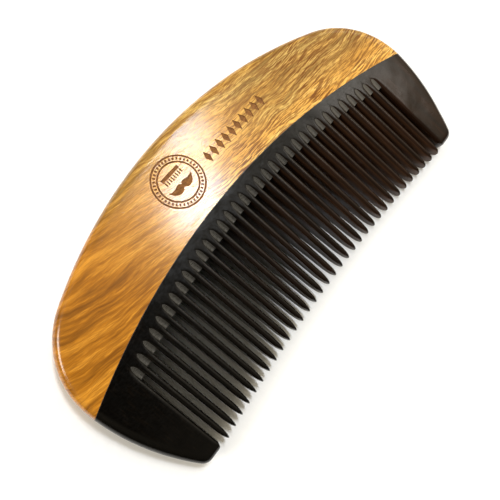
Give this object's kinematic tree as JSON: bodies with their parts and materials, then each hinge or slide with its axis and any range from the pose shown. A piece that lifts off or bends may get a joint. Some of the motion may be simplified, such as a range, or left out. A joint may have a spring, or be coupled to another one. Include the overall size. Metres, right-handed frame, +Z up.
{
  "type": "beard comb",
  "caption": "Handheld beard comb: arched wooden back glued by a tongue and groove to a tapered horn tooth plate with long fine teeth and wide end guards.",
  "frame": {"origin": "on the surface that the comb lies on, under the middle of its bounding box", "axes": "+X along the comb, +Y from the tooth tips to the crown of the wooden back, +Z up, out of the face with the engraved mark"},
  "size_m": [0.1054, 0.0498, 0.0072],
  "materials": {
    "back_wood": "gloss, oiled and polished sandalwood",
    "polished_horn": "polished black horn",
    "joint_adhesive": "dark cured adhesive"
  },
  "bodies": {
    "root": {"wood_back": "back_wood", "horn_tooth_plate": "polished_horn", "adhesive_film": "joint_adhesive"}
  },
  "joints": []
}
